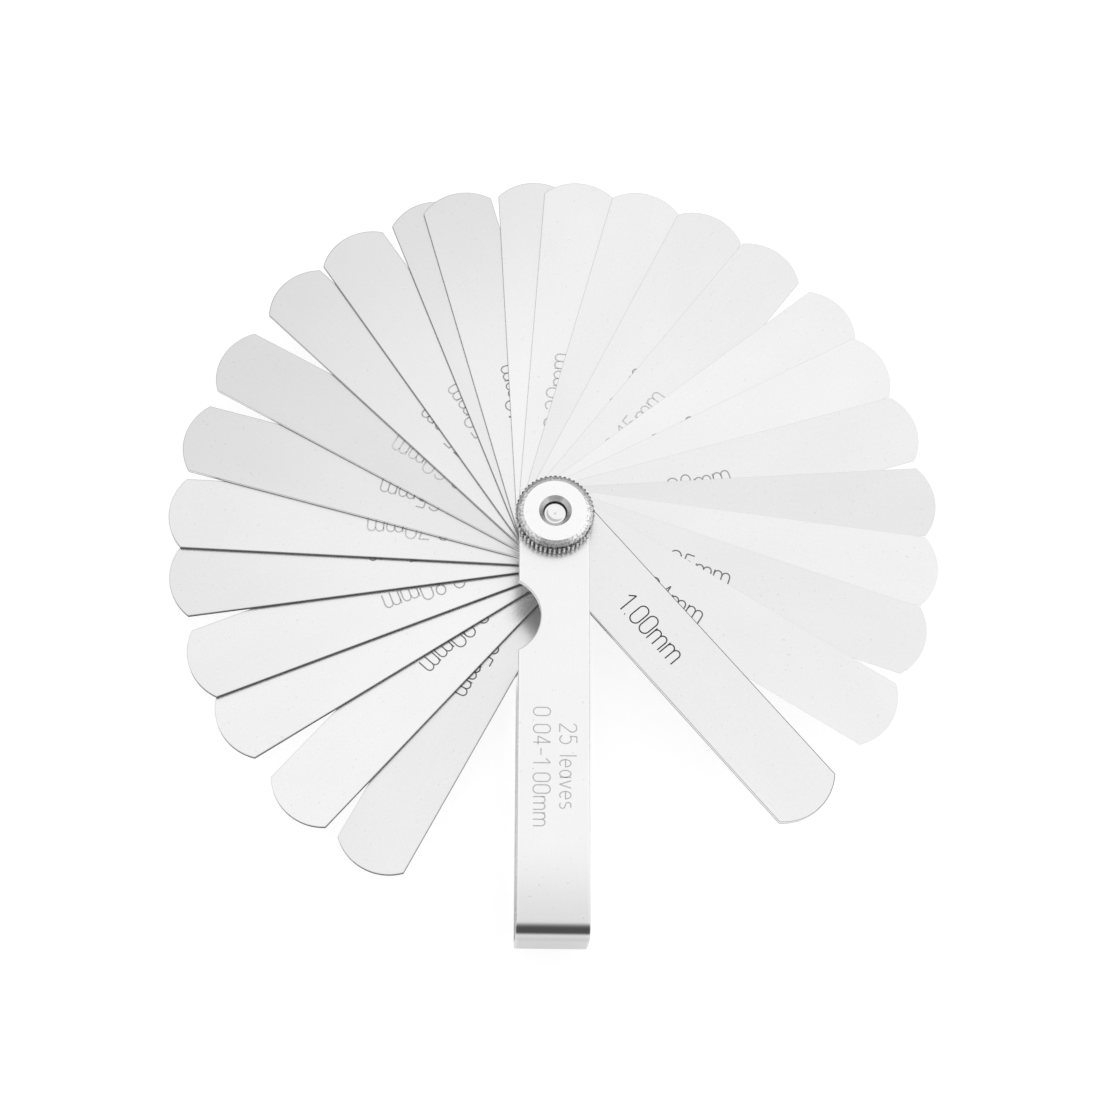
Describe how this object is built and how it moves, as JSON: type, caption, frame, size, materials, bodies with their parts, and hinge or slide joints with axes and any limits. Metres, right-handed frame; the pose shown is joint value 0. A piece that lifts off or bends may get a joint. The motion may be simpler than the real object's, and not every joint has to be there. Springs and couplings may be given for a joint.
{
  "type": "feeler gauge",
  "caption": "Steel thickness leaves fanned out round one locking screw with a knurled thumb nut, in a narrow bent strap case, for measuring gaps.",
  "frame": {"origin": "on the screw's axis, at the face of the screw's head, which is the back of the tool", "axes": "+Z along the screw, from its head to the thumb nut; the case points to -Y; +X to the right as the nut's side is looked at with the case below"},
  "size_m": [0.1338, 0.1395, 0.0183],
  "materials": {
    "case_steel": "satin nickel-plated steel strap",
    "leaf_steel": "hardened spring steel, fine ground, etched size",
    "nut_plating": "bright nickel plate, turned face, knurled rim",
    "screw_steel": "bright zinc-plated steel"
  },
  "bodies": {
    "case": {"case": "case_steel", "pivot_screw": "screw_steel"},
    "thumb_nut": {"thumb_nut": "nut_plating"},
    "leaf_1_00_mm": {"leaf_1_00_mm": "leaf_steel"},
    "leaf_0_04_mm": {"leaf_0_04_mm": "leaf_steel"},
    "leaf_0_05_mm": {"leaf_0_05_mm": "leaf_steel"},
    "leaf_0_06_mm": {"leaf_0_06_mm": "leaf_steel"},
    "leaf_0_07_mm": {"leaf_0_07_mm": "leaf_steel"},
    "leaf_0_08_mm": {"leaf_0_08_mm": "leaf_steel"},
    "leaf_0_09_mm": {"leaf_0_09_mm": "leaf_steel"},
    "leaf_0_10_mm": {"leaf_0_10_mm": "leaf_steel"},
    "leaf_0_15_mm": {"leaf_0_15_mm": "leaf_steel"},
    "leaf_0_20_mm": {"leaf_0_20_mm": "leaf_steel"},
    "leaf_0_25_mm": {"leaf_0_25_mm": "leaf_steel"},
    "leaf_0_30_mm": {"leaf_0_30_mm": "leaf_steel"},
    "leaf_0_35_mm": {"leaf_0_35_mm": "leaf_steel"},
    "leaf_0_40_mm": {"leaf_0_40_mm": "leaf_steel"},
    "leaf_0_45_mm": {"leaf_0_45_mm": "leaf_steel"},
    "leaf_0_50_mm": {"leaf_0_50_mm": "leaf_steel"},
    "leaf_0_55_mm": {"leaf_0_55_mm": "leaf_steel"},
    "leaf_0_60_mm": {"leaf_0_60_mm": "leaf_steel"},
    "leaf_0_65_mm": {"leaf_0_65_mm": "leaf_steel"},
    "leaf_0_70_mm": {"leaf_0_70_mm": "leaf_steel"},
    "leaf_0_75_mm": {"leaf_0_75_mm": "leaf_steel"},
    "leaf_0_80_mm": {"leaf_0_80_mm": "leaf_steel"},
    "leaf_0_85_mm": {"leaf_0_85_mm": "leaf_steel"},
    "leaf_0_90_mm": {"leaf_0_90_mm": "leaf_steel"},
    "leaf_0_95_mm": {"leaf_0_95_mm": "leaf_steel"}
  },
  "joints": [
    {"name": "turn_leaf_1_00_mm", "type": "hinge", "parent": "case", "child": "leaf_1_00_mm", "pos_m": [0, 0, 0.0083], "axis": [0, 0, 1], "range_deg": [-41, 319]},
    {"name": "turn_leaf_0_04_mm", "type": "hinge", "parent": "case", "child": "leaf_0_04_mm", "pos_m": [0, 0, 0.0083], "axis": [0, 0, 1], "range_deg": [-58.5, 301.5]},
    {"name": "turn_leaf_0_05_mm", "type": "hinge", "parent": "case", "child": "leaf_0_05_mm", "pos_m": [0, 0, 0.0083], "axis": [0, 0, 1], "range_deg": [-71.5, 288.5]},
    {"name": "turn_leaf_0_06_mm", "type": "hinge", "parent": "case", "child": "leaf_0_06_mm", "pos_m": [0, 0, 0.0083], "axis": [0, 0, 1], "range_deg": [-83, 277]},
    {"name": "turn_leaf_0_07_mm", "type": "hinge", "parent": "case", "child": "leaf_0_07_mm", "pos_m": [0, 0, 0.0083], "axis": [0, 0, 1], "range_deg": [-94.5, 265.5]},
    {"name": "turn_leaf_0_08_mm", "type": "hinge", "parent": "case", "child": "leaf_0_08_mm", "pos_m": [0, 0, 0.0083], "axis": [0, 0, 1], "range_deg": [-107, 253]},
    {"name": "turn_leaf_0_09_mm", "type": "hinge", "parent": "case", "child": "leaf_0_09_mm", "pos_m": [0, 0, 0.0083], "axis": [0, 0, 1], "range_deg": [-118.5, 241.5]},
    {"name": "turn_leaf_0_10_mm", "type": "hinge", "parent": "case", "child": "leaf_0_10_mm", "pos_m": [0, 0, 0.0083], "axis": [0, 0, 1], "range_deg": [-129, 231]},
    {"name": "turn_leaf_0_15_mm", "type": "hinge", "parent": "case", "child": "leaf_0_15_mm", "pos_m": [0, 0, 0.0083], "axis": [0, 0, 1], "range_deg": [-142.5, 217.5]},
    {"name": "turn_leaf_0_20_mm", "type": "hinge", "parent": "case", "child": "leaf_0_20_mm", "pos_m": [0, 0, 0.0083], "axis": [0, 0, 1], "range_deg": [-154, 206]},
    {"name": "turn_leaf_0_25_mm", "type": "hinge", "parent": "case", "child": "leaf_0_25_mm", "pos_m": [0, 0, 0.0083], "axis": [0, 0, 1], "range_deg": [-165, 195]},
    {"name": "turn_leaf_0_30_mm", "type": "hinge", "parent": "case", "child": "leaf_0_30_mm", "pos_m": [0, 0, 0.0083], "axis": [0, 0, 1], "range_deg": [-176, 184]},
    {"name": "turn_leaf_0_35_mm", "type": "hinge", "parent": "case", "child": "leaf_0_35_mm", "pos_m": [0, 0, 0.0083], "axis": [0, 0, 1], "range_deg": [-183.5, 176.5]},
    {"name": "turn_leaf_0_40_mm", "type": "hinge", "parent": "case", "child": "leaf_0_40_mm", "pos_m": [0, 0, 0.0083], "axis": [0, 0, 1], "range_deg": [-196, 164]},
    {"name": "turn_leaf_0_45_mm", "type": "hinge", "parent": "case", "child": "leaf_0_45_mm", "pos_m": [0, 0, 0.0083], "axis": [0, 0, 1], "range_deg": [-201.5, 158.5]},
    {"name": "turn_leaf_0_50_mm", "type": "hinge", "parent": "case", "child": "leaf_0_50_mm", "pos_m": [0, 0, 0.0083], "axis": [0, 0, 1], "range_deg": [-214.5, 145.5]},
    {"name": "turn_leaf_0_55_mm", "type": "hinge", "parent": "case", "child": "leaf_0_55_mm", "pos_m": [0, 0, 0.0083], "axis": [0, 0, 1], "range_deg": [-226.5, 133.5]},
    {"name": "turn_leaf_0_60_mm", "type": "hinge", "parent": "case", "child": "leaf_0_60_mm", "pos_m": [0, 0, 0.0083], "axis": [0, 0, 1], "range_deg": [-241.5, 118.5]},
    {"name": "turn_leaf_0_65_mm", "type": "hinge", "parent": "case", "child": "leaf_0_65_mm", "pos_m": [0, 0, 0.0083], "axis": [0, 0, 1], "range_deg": [-255.5, 104.5]},
    {"name": "turn_leaf_0_70_mm", "type": "hinge", "parent": "case", "child": "leaf_0_70_mm", "pos_m": [0, 0, 0.0083], "axis": [0, 0, 1], "range_deg": [-268, 92]},
    {"name": "turn_leaf_0_75_mm", "type": "hinge", "parent": "case", "child": "leaf_0_75_mm", "pos_m": [0, 0, 0.0083], "axis": [0, 0, 1], "range_deg": [-279, 81]},
    {"name": "turn_leaf_0_80_mm", "type": "hinge", "parent": "case", "child": "leaf_0_80_mm", "pos_m": [0, 0, 0.0083], "axis": [0, 0, 1], "range_deg": [-292.5, 67.5]},
    {"name": "turn_leaf_0_85_mm", "type": "hinge", "parent": "case", "child": "leaf_0_85_mm", "pos_m": [0, 0, 0.0083], "axis": [0, 0, 1], "range_deg": [-303.5, 56.5]},
    {"name": "turn_leaf_0_90_mm", "type": "hinge", "parent": "case", "child": "leaf_0_90_mm", "pos_m": [0, 0, 0.0083], "axis": [0, 0, 1], "range_deg": [-318.5, 41.5]},
    {"name": "turn_leaf_0_95_mm", "type": "hinge", "parent": "case", "child": "leaf_0_95_mm", "pos_m": [0, 0, 0.0083], "axis": [0, 0, 1], "range_deg": [-332, 28]},
    {"name": "turn_thumb_nut", "type": "hinge", "parent": "case", "child": "thumb_nut", "pos_m": [0, 0, 0.0166], "axis": [0, 0, 1], "range_deg": [0, 180]}
  ]
}
